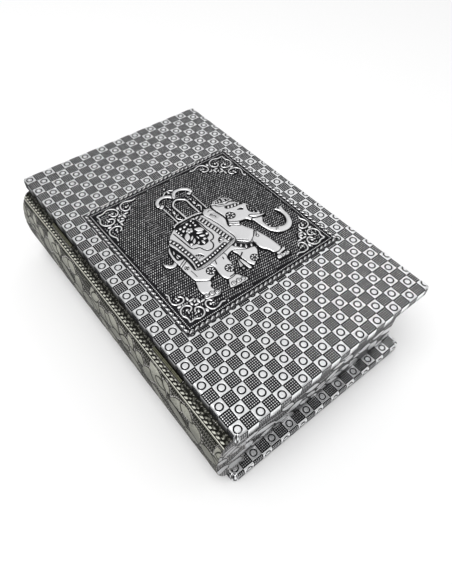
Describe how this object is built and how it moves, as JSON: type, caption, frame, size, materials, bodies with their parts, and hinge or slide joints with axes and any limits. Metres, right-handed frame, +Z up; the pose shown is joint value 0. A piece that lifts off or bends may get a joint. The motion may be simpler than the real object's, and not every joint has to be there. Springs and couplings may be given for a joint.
{
  "type": "book box",
  "caption": "Keepsake box shaped like a closed book, clad in embossed oxidised foil, with a hinged lid and a velvet-lined inside.",
  "frame": {"origin": "under the middle of the whole box, on the surface that it stands on", "axes": "+X from the rounded spine to the fore edge, +Y along the spine from the near end to the far end, +Z up"},
  "size_m": [0.135, 0.2066, 0.0587],
  "materials": {
    "embossed_foil": "embossed, oxidised in the hollows, satin on the raised parts",
    "plaque_foil": "embossed, oxidised ground, polished figure",
    "fibreboard": "raw sawn board",
    "spine_wood": "raw moulding",
    "velvet": "short pile",
    "felt": "matt felt",
    "hinge_steel": "blackened",
    "pin_steel": "blackened",
    "screw_steel": "blackened"
  },
  "bodies": {
    "box": {"base_board": "fibreboard", "base_foil": "embossed_foil", "base_felt": "felt", "spine_bar": "spine_wood", "spine_foil": "embossed_foil", "near_wall": "fibreboard", "far_wall": "fibreboard", "fore_edge_wall": "fibreboard", "near_wall_foil": "embossed_foil", "far_wall_foil": "embossed_foil", "fore_edge_foil": "embossed_foil", "floor_lining": "velvet", "spine_side_lining": "velvet", "fore_edge_lining": "velvet", "near_lining": "velvet", "far_lining": "velvet", "near_hinge_box_leaf": "hinge_steel", "far_hinge_box_leaf": "hinge_steel", "near_hinge_pin": "pin_steel", "far_hinge_pin": "pin_steel", "box_screw_1": "screw_steel", "box_screw_2": "screw_steel", "box_screw_3": "screw_steel", "box_screw_4": "screw_steel"},
    "lid": {"lid_foil": "embossed_foil", "lid_board": "fibreboard", "elephant_plaque": "plaque_foil", "lid_lining": "velvet", "near_hinge_lid_leaf": "hinge_steel", "far_hinge_lid_leaf": "hinge_steel", "lid_screw_1": "screw_steel", "lid_screw_2": "screw_steel", "lid_screw_3": "screw_steel", "lid_screw_4": "screw_steel"}
  },
  "joints": [
    {"name": "lid_hinge", "type": "hinge", "parent": "box", "child": "lid", "pos_m": [-0.0598, 0, 0.0494], "axis": [0, -1, 0], "range_deg": [0, 110]}
  ]
}
